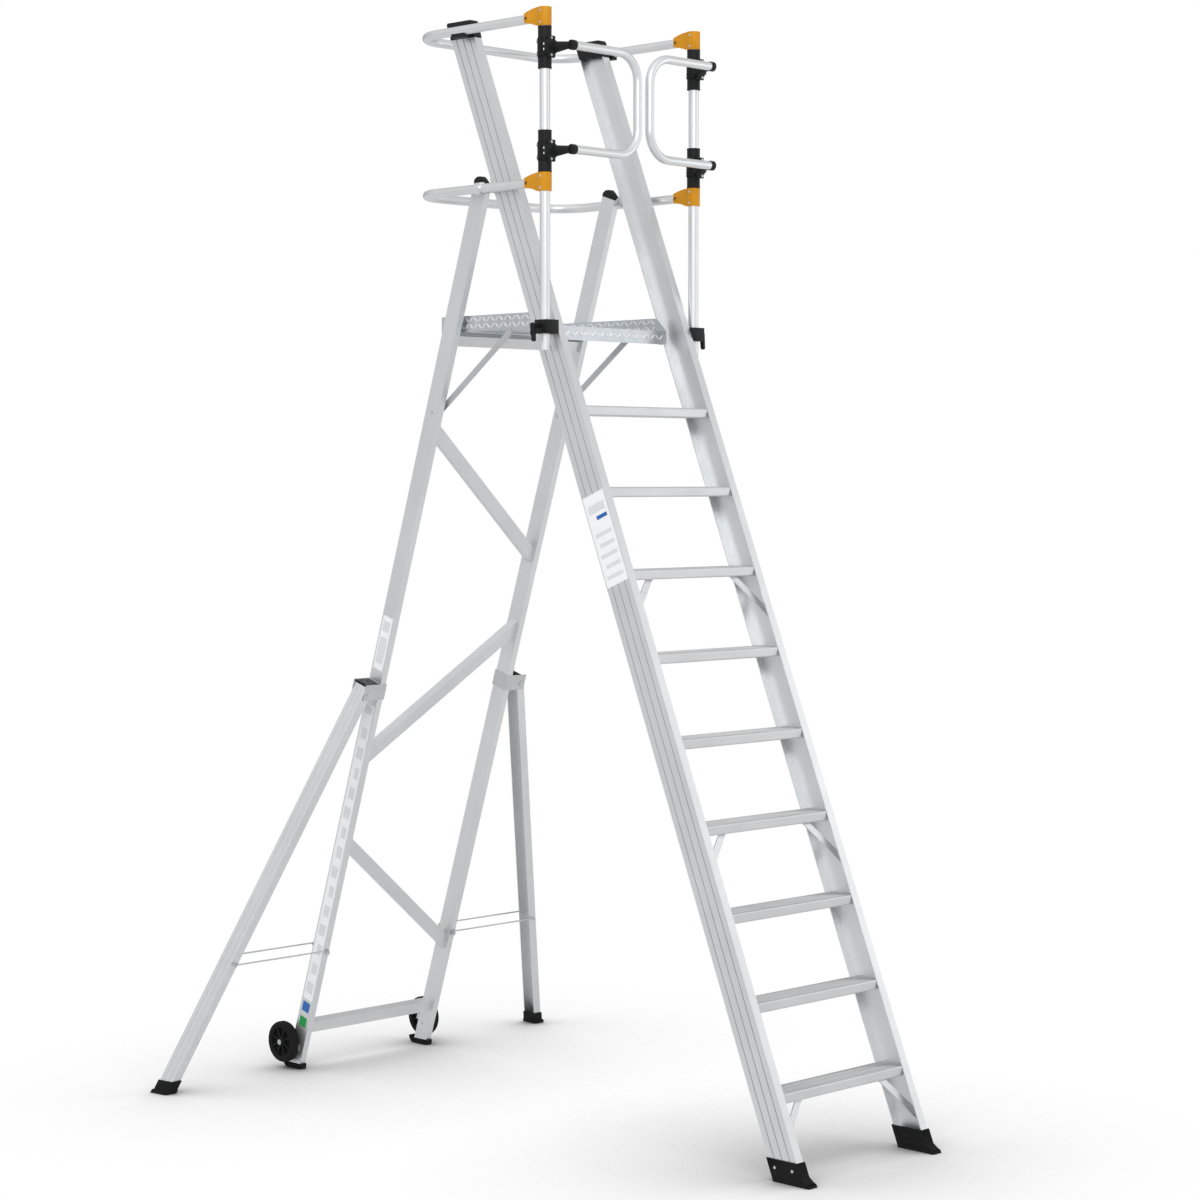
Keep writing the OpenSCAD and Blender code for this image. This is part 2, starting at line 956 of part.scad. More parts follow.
// C-shaped gate tube
module gate() {
  h = gate_top_z - gate_low_z;
  arm = gate_start - gate_end - gate_bend;
  color("#cfd0d2") union() {
    for (z = [gate_low_z, gate_top_z]) difference() {
      xcyl(gate_end + gate_bend, gate_y, z, gate_r, arm);
      xcyl(gate_end + gate_bend - 1, gate_y, z, gate_r - tube_wall, arm + 2);
    }
    translate([gate_end, gate_y, gate_low_z + gate_bend])
      linear_extrude(h - 2 * gate_bend) ring_section(gate_r);
    translate([gate_end + gate_bend, gate_y, gate_top_z - gate_bend])
      rotate([90, 0, 0]) rotate([0, 0, 90])
        rotate_extrude(angle = 90) translate([gate_bend, 0])
          ring_section(gate_r);
    translate([gate_end + gate_bend, gate_y, gate_low_z + gate_bend])
      rotate([90, 0, 0]) rotate([0, 0, 180])
        rotate_extrude(angle = 90) translate([gate_bend, 0])
          ring_section(gate_r);
  }
}

module gate_left() {
  left() gate();
}

module gate_right() {
  gate();
}

// Hinge turning on the post: clamp ring, front plate, and an arm to the gate
module gate_hinge(z) {
  plate_y = post_y - sleeve_r - 12;
  difference() {
    union() {
      post_ring(z - hinge_half, z + hinge_half, sleeve_r + 2, post_r + fit);
      block(post_x - 25, post_x + 25, post_y - 7, post_y + 7,
        z - hinge_half, z + hinge_half);
      block(post_x - 13, post_x + 13, plate_y, plate_y + 10, z - 33, z + 33);
      block(post_x - 25, post_x + 25, plate_y, plate_y + 10, z - 14, z + 14);
      block(post_x - 18, post_x + 18, plate_y, post_y - 14, z - 20, z + 20);
      translate([gate_start + 5, plate_y, z]) rotate([90, 0, 0])
        cylinder(r1 = 17, r2 = 10.5, h = plate_y - gate_y - 4);
      xcyl(gate_start - 10, gate_y, z, gate_r + 2, 16);
    }
    translate([post_x, post_y, z - 40]) cylinder(r = post_r + fit, h = 80);
    xcyl(gate_start - 20, gate_y, z, gate_r, 20);
  }
}

module gate_hinge_pair() {
  color("#151515") {
    gate_hinge(gate_top_z);
    gate_hinge(gate_low_z);
  }
}

module gate_hinges_left() {
  left() gate_hinge_pair();
}

module gate_hinges_right() {
  gate_hinge_pair();
}

front_stile_left();
front_stile_right();
stile_caps();
front_feet();
foot_rivets();
tread_1();
tread_2();
tread_3();
tread_4();
tread_5();
tread_6();
tread_7();
tread_8();
tread_9();
tread_braces();
cross_tube();
hinge_brackets();
hinge_pins();
platform();
strut_left();
strut_right();
rear_stile_left();
rear_stile_right();
rear_caps();
rear_feet();
rear_brace_upper();
rear_brace_middle();
rear_brace_lower();
rear_bottom_bar();
rear_cross_bar();
hinge_tongues();
wheel_axles();
outrigger_brackets();
rear_pins();
wheel_left();
wheel_right();
outrigger_leg_left();
outrigger_leg_right();
outrigger_ends_left();
outrigger_ends_right();
stay_left();
stay_right();
top_rail();
top_collars();
knee_rail();
knee_collars();
post_left();
post_right();
connectors_left();
connectors_right();
gate_sleeves_left();
gate_sleeves_right();
clamp_left();
clamp_right();
lever_left();
lever_right();
gate_left();
gate_right();
gate_hinges_left();
gate_hinges_right();
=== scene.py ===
"""Mobile ladder stand: looks, small fittings and studio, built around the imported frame."""
import json
import math

import bmesh
import bpy
from mathutils import Matrix, Vector


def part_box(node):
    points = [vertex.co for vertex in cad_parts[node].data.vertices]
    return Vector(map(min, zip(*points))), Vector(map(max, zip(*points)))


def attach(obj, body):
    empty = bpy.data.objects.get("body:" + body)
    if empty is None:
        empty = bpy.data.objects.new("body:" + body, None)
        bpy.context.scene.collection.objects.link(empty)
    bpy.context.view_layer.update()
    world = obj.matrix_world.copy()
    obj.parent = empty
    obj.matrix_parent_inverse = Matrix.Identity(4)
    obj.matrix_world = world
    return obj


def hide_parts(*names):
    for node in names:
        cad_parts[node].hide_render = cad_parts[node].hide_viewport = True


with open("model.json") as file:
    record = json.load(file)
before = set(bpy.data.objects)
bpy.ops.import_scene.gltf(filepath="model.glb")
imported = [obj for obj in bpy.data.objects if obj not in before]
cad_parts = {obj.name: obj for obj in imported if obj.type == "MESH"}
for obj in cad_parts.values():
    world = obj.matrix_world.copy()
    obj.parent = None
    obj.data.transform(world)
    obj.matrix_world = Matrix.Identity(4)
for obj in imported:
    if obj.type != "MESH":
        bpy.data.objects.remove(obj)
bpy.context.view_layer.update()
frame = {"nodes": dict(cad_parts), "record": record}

SIDES = {"left": -1, "right": 1}

# ---- driving sizes, in metres and degrees ----

# Lean of the stiles, and where their front faces meet the floor
FRONT_LEAN, FRONT_FOOT = 21.9, -1.188
REAR_LEAN, REAR_FOOT = 17.9, 1.086
DECK_LEVEL = 2.503
TREADS = range(1, 10)

# Axis of the right-hand post, and the heights of the fittings on it
POST = Vector((0.335, -0.165, 0.0))
RAIL_LEVELS = (3.437, 2.935)
GATE_LEVELS = (3.343, 3.028)


# ---- studio ----

def make_camera():
    data = bpy.data.cameras.new("camera")
    data.sensor_width = 36.0
    data.lens = 83.26
    camera = bpy.data.objects.new("camera", data)
    camera.location = (-6.2971, -6.294, 2.026)
    camera.rotation_euler = (math.radians(87.5), 0.0, math.radians(-45.34))
    bpy.context.scene.collection.objects.link(camera)
    bpy.context.scene.camera = camera


def make_world(dim=0.36, bright=1.0, brightest=(-0.62, -0.52, 0.59)):
    """A white backdrop, and on the object itself a light that fades away from one side."""
    world = bpy.data.worlds.new("studio")
    world.use_nodes = True
    tree = world.node_tree
    tree.nodes.clear()
    seen = tree.nodes.new("ShaderNodeBackground")
    seen.inputs["Strength"].default_value = 1.0
    seen.inputs["Color"].default_value = (1.0, 1.0, 1.0, 1.0)
    ways = tree.nodes.new("ShaderNodeTexCoord")
    aim = tree.nodes.new("ShaderNodeVectorMath")
    aim.operation = "DOT_PRODUCT"
    aim.inputs[1].default_value = brightest
    fade = tree.nodes.new("ShaderNodeMapRange")
    fade.inputs["From Min"].default_value = -0.7
    fade.inputs["From Max"].default_value = 0.8
    fade.inputs["To Min"].default_value = dim
    fade.inputs["To Max"].default_value = bright
    light = tree.nodes.new("ShaderNodeBackground")
    light.inputs["Color"].default_value = (0.975, 0.99, 1.0, 1.0)
    path = tree.nodes.new("ShaderNodeLightPath")
    mix = tree.nodes.new("ShaderNodeMixShader")
    out = tree.nodes.new("ShaderNodeOutputWorld")
    tree.links.new(ways.outputs["Generated"], aim.inputs[0])
    tree.links.new(aim.outputs["Value"], fade.inputs["Value"])
    tree.links.new(fade.outputs["Result"], light.inputs["Strength"])
    tree.links.new(path.outputs["Is Camera Ray"], mix.inputs["Fac"])
    tree.links.new(light.outputs["Background"], mix.inputs[1])
    tree.links.new(seen.outputs["Background"], mix.inputs[2])
    tree.links.new(mix.outputs["Shader"], out.inputs["Surface"])
    bpy.context.scene.world = world
    bpy.context.scene.view_settings.view_transform = "Standard"


def make_light(name, place, aim, size, power):
    data = bpy.data.lights.new(name, "AREA")
    data.shape = "SQUARE"
    data.size = size
    data.energy = power
    light = bpy.data.objects.new(name, data)
    light.location = place
    light.rotation_mode = "QUATERNION"
    light.rotation_quaternion = (Vector(aim) - Vector(place)).to_track_quat("-Z", "Y")
    bpy.context.scene.collection.objects.link(light)


def floor_material(painted_shadow_fall=1.9, painted_shadow_reach=1.1):
    """Pale floor that stays white, with a painted shadow only close to what stands on it: the
    emission the camera sees is darkened by ambient occlusion.
    """
    made = bpy.data.materials.new("floor_with_painted_shadow")
    made.use_nodes = True
    tree = made.node_tree
    tree.nodes.clear()
    painted_shadow_ao = tree.nodes.new("ShaderNodeAmbientOcclusion")
    painted_shadow_ao.samples = 24
    painted_shadow_ao.inputs["Distance"].default_value = painted_shadow_reach
    lift = tree.nodes.new("ShaderNodeMath")
    lift.operation = "POWER"
    lift.inputs[1].default_value = painted_shadow_fall
    seen = tree.nodes.new("ShaderNodeEmission")
    matte = tree.nodes.new("ShaderNodeBsdfDiffuse")
    matte.inputs["Color"].default_value = (0.82, 0.82, 0.82, 1.0)
    path = tree.nodes.new("ShaderNodeLightPath")
    mix = tree.nodes.new("ShaderNodeMixShader")
    out = tree.nodes.new("ShaderNodeOutputMaterial")
    # Painted shadow: ambient occlusion, raised to a power, sets how brightly the floor glows for
    # the camera.
    tree.links.new(painted_shadow_ao.outputs["AO"], lift.inputs[0])
    tree.links.new(lift.outputs["Value"], seen.inputs["Strength"])
    tree.links.new(path.outputs["Is Camera Ray"], mix.inputs["Fac"])
    tree.links.new(matte.outputs["BSDF"], mix.inputs[1])
    tree.links.new(seen.outputs["Emission"], mix.inputs[2])
    tree.links.new(mix.outputs["Shader"], out.inputs["Surface"])
    return made


def make_floor(half=60.0):
    mesh = bpy.data.meshes.new("floor")
    corners = [(-half, -half, 0), (half, -half, 0), (half, half, 0), (-half, half, 0)]
    mesh.from_pydata(corners, [], [(0, 1, 2, 3)])
    mesh.materials.append(floor_material())
    floor = bpy.data.objects.new("floor", mesh)
    bpy.context.scene.collection.objects.link(floor)


make_camera()
make_world()
make_floor()
make_light("key", (-5.5, -6.0, 6.5), (0, 0, 1.6), 3.5, 150)
make_light("fill", (6.0, -4.0, 3.0), (0, 0, 1.8), 4.0, 40)


# ---- materials ----

def grey(value, tint=1.01):
    """A neutral colour, cooler where the tint is above one."""
    return (value * (2.0 - tint), value, min(value * tint, 1.0), 1.0)


class Finish:
    """A material whose colour, roughness and relief come from layered noise."""

    def __init__(self, name, metallic=0.0, specular=0.5):
        self.material = bpy.data.materials.new(name)
        self.material.use_nodes = True
        self.nodes = self.material.node_tree.nodes
        self.links = self.material.node_tree.links
        self.shader = self.nodes["Principled BSDF"]
        self.shader.inputs["Metallic"].default_value = metallic
        self.shader.inputs["Specular IOR Level"].default_value = specular
        self.place = self.nodes.new("ShaderNodeTexCoord").outputs["Object"]

    def mapped(self, scale, turn=(0.0, 0.0, 0.0)):
        node = self.nodes.new("ShaderNodeMapping")
        node.inputs["Rotation"].default_value = [math.radians(a) for a in turn]
        node.inputs["Scale"].default_value = scale
        self.links.new(self.place, node.inputs["Vector"])
        return node.outputs["Vector"]

    def noise(self, vector, scale=1.0, detail=4.0, rough=0.55):
        node = self.nodes.new("ShaderNodeTexNoise")
        node.inputs["Scale"].default_value = scale
        node.inputs["Detail"].default_value = detail
        node.inputs["Roughness"].default_value = rough
        self.links.new(vector, node.inputs["Vector"])
        return node.outputs["Fac"]

    def spread(self, value, low, high):
        """Maps a noise value of about 0.3 to 0.7 to low to high."""
        node = self.nodes.new("ShaderNodeMapRange")
        node.inputs["From Min"].default_value = 0.3
        node.inputs["From Max"].default_value = 0.7
        node.inputs["To Min"].default_value = low
        node.inputs["To Max"].default_value = high
        self.links.new(value, node.inputs["Value"])
        return node.outputs["Result"]

    def blend_colours(self, value, first, second):
        node = self.nodes.new("ShaderNodeMix")
        node.data_type = "RGBA"
        for socket in node.inputs:
            if socket.type == "RGBA":
                socket.default_value = first if socket.name == "A" else second
        factor = [socket for socket in node.inputs if socket.type == "VALUE"][0]
        self.links.new(value, factor)
        return [socket for socket in node.outputs if socket.type == "RGBA"][0]

    def colour(self, value, first, second):
        self.links.new(self.blend_colours(value, first, second),
                       self.shader.inputs["Base Color"])

    def roughness(self, value, low, high):
        self.links.new(self.spread(value, low, high), self.shader.inputs["Roughness"])

    def relief(self, value, depth, strength=1.0):
        node = self.nodes.new("ShaderNodeBump")
        node.inputs["Strength"].default_value = strength
        node.inputs["Distance"].default_value = depth
        self.links.new(value, node.inputs["Height"])
        self.links.new(node.outputs["Normal"], self.shader.inputs["Normal"])


def drawn_aluminium(name, light, dark, grain, turn=(0.0, 0.0, 0.0), rough=(0.34, 0.46),
                    tint=1.01):
    """Extruded aluminium with faint die lines along its length."""
    made = Finish(name, metallic=0.9)
    lines = made.noise(made.mapped(grain, turn), detail=3.0)
    clouds = made.noise(made.mapped((1.0, 1.0, 1.0)), scale=5.0, detail=5.0)
    made.colour(made.spread(clouds, 0.0, 1.0), grey(light, tint), grey(dark, tint))
    made.roughness(lines, *rough)
    made.relief(lines, 0.00025, 0.5)
    return made.material


def moulded(name, first, second, rough=(0.42, 0.6), grain=900.0, depth=0.0002,
            specular=0.25):
    """Moulded plastic or rubber with a fine spark-eroded grain and faint wear."""
    made = Finish(name, specular=specular)
    fine = made.noise(made.mapped((1.0, 1.0, 1.0)), scale=grain, detail=2.0)
    wear = made.noise(made.mapped((1.0, 1.0, 1.0)), scale=14.0, detail=6.0, rough=0.7)
    made.colour(made.spread(wear, 0.0, 1.0), first, second)
    made.roughness(wear, *rough)
    made.relief(fine, depth, 0.6)
    return made.material


LENGTHWISE = (260.0, 260.0, 5.0)
CROSSWISE = (5.0, 260.0, 260.0)

ALONG_FRONT = (FRONT_LEAN, 0, 0)
ALONG_REAR = (-REAR_LEAN, 0, 0)

front_metal = drawn_aluminium("front_stile_metal", 0.80, 0.74, LENGTHWISE, ALONG_FRONT)
rear_metal = drawn_aluminium("rear_stile_metal", 0.80, 0.74, LENGTHWISE, ALONG_REAR)
leg_metal = drawn_aluminium("leg_metal", 0.80, 0.74, (34.0, 34.0, 34.0))
# Painted shade: a darker copy of the aluminium, laid into groove faces where shade falls.
groove_painted_shade_metal = drawn_aluminium("groove_painted_shade_metal", 0.34, 0.28, LENGTHWISE, ALONG_FRONT)
tread_metal = drawn_aluminium("tread_metal", 0.76, 0.69, CROSSWISE, rough=(0.38, 0.52))
brace_metal = drawn_aluminium("brace_metal", 0.78, 0.71, CROSSWISE)
post_metal = drawn_aluminium("post_metal", 0.86, 0.80, LENGTHWISE, rough=(0.26, 0.36))
rail_metal = drawn_aluminium("rail_metal", 0.84, 0.78, (90.0, 60.0, 90.0), rough=(0.28, 0.38))
deck_metal = drawn_aluminium("deck_metal", 0.66, 0.58, (60.0, 60.0, 60.0), rough=(0.26, 0.4),
                             tint=1.05)
chequer_metal = drawn_aluminium("chequer_metal", 0.90, 0.84, (60.0, 60.0, 60.0),
                                rough=(0.2, 0.3))
bar_metal = drawn_aluminium("flat_bar_metal", 0.66, 0.58, (120.0, 20.0, 120.0), rough=(0.4, 0.5))
bolt_steel = drawn_aluminium("zinc_steel", 0.66, 0.55, (80.0, 80.0, 80.0), rough=(0.25, 0.4))
wire_steel = drawn_aluminium("stay_wire", 0.60, 0.52, (30.0, 400.0, 400.0), rough=(0.28, 0.4))
black_plastic = moulded("black_plastic", (0.006, 0.006, 0.0065, 1), (0.011, 0.011, 0.012, 1))
black_rubber = moulded("black_rubber", (0.007, 0.007, 0.007, 1), (0.014, 0.0135, 0.013, 1),
                       (0.6, 0.8), 500.0, 0.0004, 0.12)
amber_plastic = moulded("amber_plastic", (0.74, 0.32, 0.006, 1), (0.66, 0.27, 0.004, 1),
                        (0.34, 0.48))
label_white = moulded("label_white", (0.98, 0.98, 0.98, 1), (0.94, 0.94, 0.95, 1), (0.3, 0.4))
label_blue = moulded("label_blue", (0.03, 0.16, 0.50, 1), (0.025, 0.13, 0.42, 1), (0.3, 0.4))
label_green = moulded("label_green", (0.02, 0.36, 0.09, 1), (0.015, 0.30, 0.07, 1), (0.3, 0.4))
label_grey = moulded("label_grey", (0.78, 0.80, 0.82, 1), (0.73, 0.75, 0.77, 1), (0.3, 0.4))


# ---- mesh helpers ----

def new_object(name, mesh, *materials):
    for made in materials:
        mesh.materials.append(made)
    piece = bpy.data.objects.new(name, mesh)
    bpy.context.scene.collection.objects.link(piece)
    return piece


def finish_mesh(name, shape, *materials, angle=35.0):
    """Turns a bmesh into an object with closed, outward faces and crisp edges."""
    bmesh.ops.remove_doubles(shape, verts=shape.verts, dist=1e-6)
    bmesh.ops.recalc_face_normals(shape, faces=shape.faces)
    mesh = bpy.data.meshes.new(name)
    shape.to_mesh(mesh)
    shape.free()
    smooth_by_angle(mesh, angle)
    return new_object(name, mesh, *materials)


def smooth_by_angle(mesh, angle=35.0):
    mesh.shade_smooth()
    mesh.set_sharp_from_angle(angle=math.radians(angle))


def settle(piece, body, slot, *replaced):
    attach(piece, body)
    if replaced:
        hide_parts(*replaced)


def lathe(shape, outline, axis_place, turn=Matrix.Identity(4), steps=64, material=0):
    """Spins an outline of (radius, height) points round the Z axis of turn."""
    place = Matrix.Translation(axis_place) @ turn
    rings = []
    for step in range(steps):
        angle = 2 * math.pi * step / steps
        rings.append([shape.verts.new(place @ Vector((r * math.cos(angle), r * math.sin(angle), z)))
                      for r, z in outline])
    for step in range(steps):
        here, there = rings[step], rings[(step + 1) % steps]
        for k in range(len(outline)):
            n = (k + 1) % len(outline)
            face = shape.faces.new((here[k], there[k], there[n], here[n]))
            face.material_index = material


def plate(shape, corners, thickness, normal, material=0):
    """A thin flat plate standing on the outline given by its corners."""
    lift = Vector(normal).normalized() * thickness
    low = [shape.verts.new(Vector(c)) for c in corners]
    top = [shape.verts.new(Vector(c) + lift) for c in corners]
    faces = [shape.faces.new(low[::-1]), shape.faces.new(top)]
    count = len(corners)
    for k in range(count):
        n = (k + 1) % count
        faces.append(shape.faces.new((low[k], low[n], top[n], top[k])))
    for face in faces:
        face.material_index = material


def along_front(x, depth, height):
    """A point in the front stiles' own frame, in the row frame."""
    lean = math.radians(FRONT_LEAN)
    return Vector((x, FRONT_FOOT + depth * math.cos(lean) + height * math.sin(lean),
                   -depth * math.sin(lean) + height * math.cos(lean)))


def along_rear(x, depth, height):
    """A point in the rear stiles' own frame, in the row frame."""
    lean = math.radians(REAR_LEAN)
    return Vector((x, REAR_FOOT + depth * math.cos(lean) - height * math.sin(lean),
                   depth * math.sin(lean) + height * math.cos(lean)))


# ---- geometry node trees ----

class Tree:
    """A Geometry Nodes tree with named inputs, ended by Realize Instances and Set Material."""

    def __init__(self, name, **sizes):
        self.group = bpy.data.node_groups.new(name, "GeometryNodeTree")
        self.sockets = {}
        face = self.group.interface
        face.new_socket("Geometry", in_out="INPUT", socket_type="NodeSocketGeometry")
        for label, value in sizes.items():
            kind = "NodeSocketInt" if isinstance(value, int) else "NodeSocketFloat"
            socket = face.new_socket(label.replace("_", " "), in_out="INPUT", socket_type=kind)
            socket.default_value = value
            self.sockets[label] = socket.identifier
        face.new_socket("Geometry", in_out="OUTPUT", socket_type="NodeSocketGeometry")
        self.start = self.group.nodes.new("NodeGroupInput")
        self.end = self.group.nodes.new("NodeGroupOutput")

    def add(self, kind, **fields):
        node = self.group.nodes.new(kind)
        for key, value in fields.items():
            if key.startswith("set_"):
                setattr(node, key[4:], value)
            elif isinstance(value, bpy.types.NodeSocket):
                self.link(value, node.inputs[key.replace("_", " ")])
            else:
                node.inputs[key.replace("_", " ")].default_value = value
        return node

    def link(self, source, target):
        self.group.links.new(source, target)

    def given(self, label):
        return self.start.outputs[label.replace("_", " ")]

    def sum(self, operation, first, second):
        node = self.group.nodes.new("ShaderNodeMath")
        node.operation = operation
        for socket, value in zip(node.inputs, (first, second)):
            if isinstance(value, bpy.types.NodeSocket):
                self.link(value, socket)
            else:
                socket.default_value = value
        return node.outputs[0]

    def finish(self, geometry, material):
        whole = self.add("GeometryNodeRealizeInstances", Geometry=geometry)
        painted = self.add("GeometryNodeSetMaterial", Geometry=whole.outputs[0],
                           Material=material)
        self.link(painted.outputs[0], self.end.inputs[0])
        return self


def grow(name, tree, points, normals=None, spins=None, **sizes):
    """Runs a tree on a set of points and keeps the result as a plain mesh."""
    seeds = bpy.data.meshes.new(name + "_points")
    seeds.from_pydata([tuple(p) for p in points], [], [])
    if normals:
        facing = seeds.attributes.new("facing", "FLOAT_VECTOR", "POINT")
        facing.data.foreach_set("vector", [c for n in normals for c in n])
    if spins:
        turned = seeds.attributes.new("spin", "FLOAT", "POINT")
        turned.data.foreach_set("value", spins)
    carrier = new_object(name + "_carrier", seeds)
    modifier = carrier.modifiers.new("grow", "NODES")
    modifier.node_group = tree.group
    for label, value in sizes.items():
        modifier[tree.sockets[label]] = value
    shown = carrier.evaluated_get(bpy.context.evaluated_depsgraph_get())
    mesh = bpy.data.meshes.new_from_object(shown)
    mesh.name = name
    bpy.data.objects.remove(carrier)
    smooth_by_angle(mesh, 40.0)
    return new_object(name, mesh)


def facing_tree(name, material, build, **sizes):
    """Sets one small solid on each point, its Z axis along the point's facing."""
    tree = Tree(name, **sizes)
    solid = build(tree)
    facing = tree.add("GeometryNodeInputNamedAttribute", set_data_type="FLOAT_VECTOR",
                      Name="facing")
    turn = tree.add("FunctionNodeAlignRotationToVector", Vector=facing.outputs["Attribute"])
    turn.axis = "Z"
    spin = tree.add("GeometryNodeInputNamedAttribute", set_data_type="FLOAT", Name="spin")
    about = tree.add("FunctionNodeAxisAngleToRotation", Axis=(0.0, 0.0, 1.0),
                     Angle=spin.outputs["Attribute"])
    both = tree.add("FunctionNodeRotateRotation", set_rotation_space="LOCAL")
    tree.link(turn.outputs[0], both.inputs[0])
    tree.link(about.outputs[0], both.inputs[1])
    placed = tree.add("GeometryNodeInstanceOnPoints", Points=tree.given("Geometry"),
                      Instance=solid, Rotation=both.outputs[0])
    return tree.finish(placed.outputs[0], material)


def dome(tree):
    """A shallow rivet head: half a ball, flattened."""
    ball = tree.add("GeometryNodeMeshUVSphere", Segments=16, Rings=10,
                    Radius=tree.given("Radius"))
    flat = tree.add("ShaderNodeCombineXYZ", X=1.0, Y=1.0, Z=tree.given("Flatness"))
    pressed = tree.add("GeometryNodeTransform", Geometry=ball.outputs["Mesh"],
                       Scale=flat.outputs[0])
    return pressed.outputs[0]


def hex_head(tree):
    """A hexagon screw head on a round washer."""
    washer = tree.add("GeometryNodeMeshCylinder", Vertices=24, Radius=tree.given("Radius"),
                      Depth=tree.sum("MULTIPLY", tree.given("Radius"), 0.5))
    nut = tree.add("GeometryNodeMeshCylinder", Vertices=6,
                   Radius=tree.sum("MULTIPLY", tree.given("Radius"), 0.78),
                   Depth=tree.sum("MULTIPLY", tree.given("Radius"), 1.5))
    joined = tree.add("GeometryNodeJoinGeometry")
    tree.link(washer.outputs["Mesh"], joined.inputs[0])
    tree.link(nut.outputs["Mesh"], joined.inputs[0])
    return joined.outputs[0]


def lozenge(tree):
    """One raised bar of chequer plate, pointed at both ends."""
    ball = tree.add("GeometryNodeMeshUVSphere", Segments=8, Rings=6, Radius=1.0)
    size = tree.add("ShaderNodeCombineXYZ", X=tree.given("Length"), Y=tree.given("Width"),
                    Z=tree.given("Height"))
    pressed = tree.add("GeometryNodeTransform", Geometry=ball.outputs["Mesh"],
                       Scale=size.outputs[0])
    return pressed.outputs[0]


def bead(tree):
    """A half-round bead that runs across the stand."""
    rod = tree.add("GeometryNodeMeshCylinder", Vertices=8, Radius=tree.given("Radius"),
                   Depth=tree.given("Length"))
    return rod.outputs["Mesh"]


rivets = facing_tree("rivet_heads", bolt_steel, dome, Radius=0.0045, Flatness=0.45)
screws = facing_tree("screw_heads", bolt_steel, hex_head, Radius=0.0045)
chequers = facing_tree("chequer_plate", chequer_metal, lozenge, Length=0.0115, Width=0.0036,
                       Height=0.0014)
beads = facing_tree("tread_beads", tread_metal, bead, Radius=0.0011, Length=0.54)
pivot_heads = facing_tree("pivot_heads", black_plastic, dome, Radius=0.0065, Flatness=0.4)


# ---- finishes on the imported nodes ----

TREAD_NODES = [f"tread_{number}" for number in TREADS]


def finish_of(node):
    if node.startswith("front_stile"):
        return front_metal
    if node.startswith("rear_stile"):
        return rear_metal
    if node.startswith("outrigger_leg"):
        return leg_metal
    if node in TREAD_NODES:
        return tread_metal
    if node.startswith("rear_b") or node in ("rear_cross_bar", "tread_braces"):
        return brace_metal
    if node.startswith("post"):
        return post_metal
    if node in ("top_rail", "knee_rail", "knee_collars", "gate_left", "gate_right",
                "cross_tube"):
        return rail_metal
    if node == "platform":
        return deck_metal
    if node.startswith("strut"):
        return bar_metal
    if node.startswith("stay"):
        return wire_steel
    if node.startswith("connectors"):
        return amber_plastic
    if node in ("front_feet", "rear_feet") or node.startswith("outrigger_ends"):
        return black_rubber
    if node in ("hinge_brackets", "hinge_pins", "hinge_tongues", "wheel_axles", "rear_pins",
                "foot_rivets", "outrigger_brackets"):
        return bolt_steel
    return black_plastic


def slot_of(node):
    for part in frame["record"]["subparts"]:
        if part["node"] == node:
            return part["material_slot"]
    raise KeyError(node)


def body_of(node):
    for body, members in frame["record"]["behaviour"]["bodies"].items():
        if node in members:
            return body
    raise KeyError(node)


def paint_nodes():
    for node, piece in frame["nodes"].items():
        piece.data.materials.clear()
        piece.data.materials.append(finish_of(node))
        if node.startswith("front_stile") or node in TREAD_NODES:
            paint_groove_shade(piece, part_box(node))


def paint_groove_shade(piece, box):
    """Paints shade into the grooves along a stile, and into every third groove of a tread, with a
    darker copy of the metal.
    """
    shallowest, deepest = 0.0006, 0.0014
    first_groove, groove_pitch = 0.011, 0.010
    square_on = 0.9
    stile = box[1].z - box[0].z > 1.0
    # The second slot holds the darker metal that paints shade into the grooves.
    piece.data.materials.append(groove_painted_shade_metal)
    for face in piece.data.polygons:
        if stile:
            outside = max(abs(box[0].x), abs(box[1].x)) - abs(face.center.x)
            flat = abs(face.normal.x)
        else:
            outside = box[1].z - face.center.z
            groove = round((face.center.y - box[0].y - first_groove) / groove_pitch)
            flat = face.normal.z if groove % 3 == 1 else 0.0
        if flat > square_on and shallowest < outside < deepest:
            face.material_index = 1


def soften(node, width, steps=2):
    """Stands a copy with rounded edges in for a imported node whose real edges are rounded."""
    shape = bmesh.new()
    shape.from_mesh(frame["nodes"][node].data)
    bmesh.ops.remove_doubles(shape, verts=shape.verts, dist=2e-5)
    bmesh.ops.dissolve_limit(shape, angle_limit=math.radians(2.0), verts=shape.verts,
                             edges=shape.edges)
    mesh = bpy.data.meshes.new(node + "_rounded")
    shape.to_mesh(mesh)
    shape.free()
    piece = new_object(node + "_rounded", mesh, finish_of(node))
    bevel = piece.modifiers.new("bevel", "BEVEL")
    bevel.width = width
    bevel.segments = steps
    bevel.limit_method = "ANGLE"
    bevel.angle_limit = math.radians(40)
    bevel.harden_normals = False
    shown = piece.evaluated_get(bpy.context.evaluated_depsgraph_get())
    rounded = bpy.data.meshes.new_from_object(shown)
    piece.modifiers.clear()
    piece.data = rounded
    smooth_by_angle(rounded, 30.0)
    settle(piece, body_of(node), slot_of(node), node)


paint_nodes()
for softened in ("stile_caps", "front_feet", "rear_feet", "rear_caps", "clamp_left",
                 "clamp_right", "connectors_left", "connectors_right", "outrigger_ends_left",
                 "outrigger_ends_right", "gate_hinges_left", "gate_hinges_right"):
    soften(softened, 0.0022)


# ---- platform ----

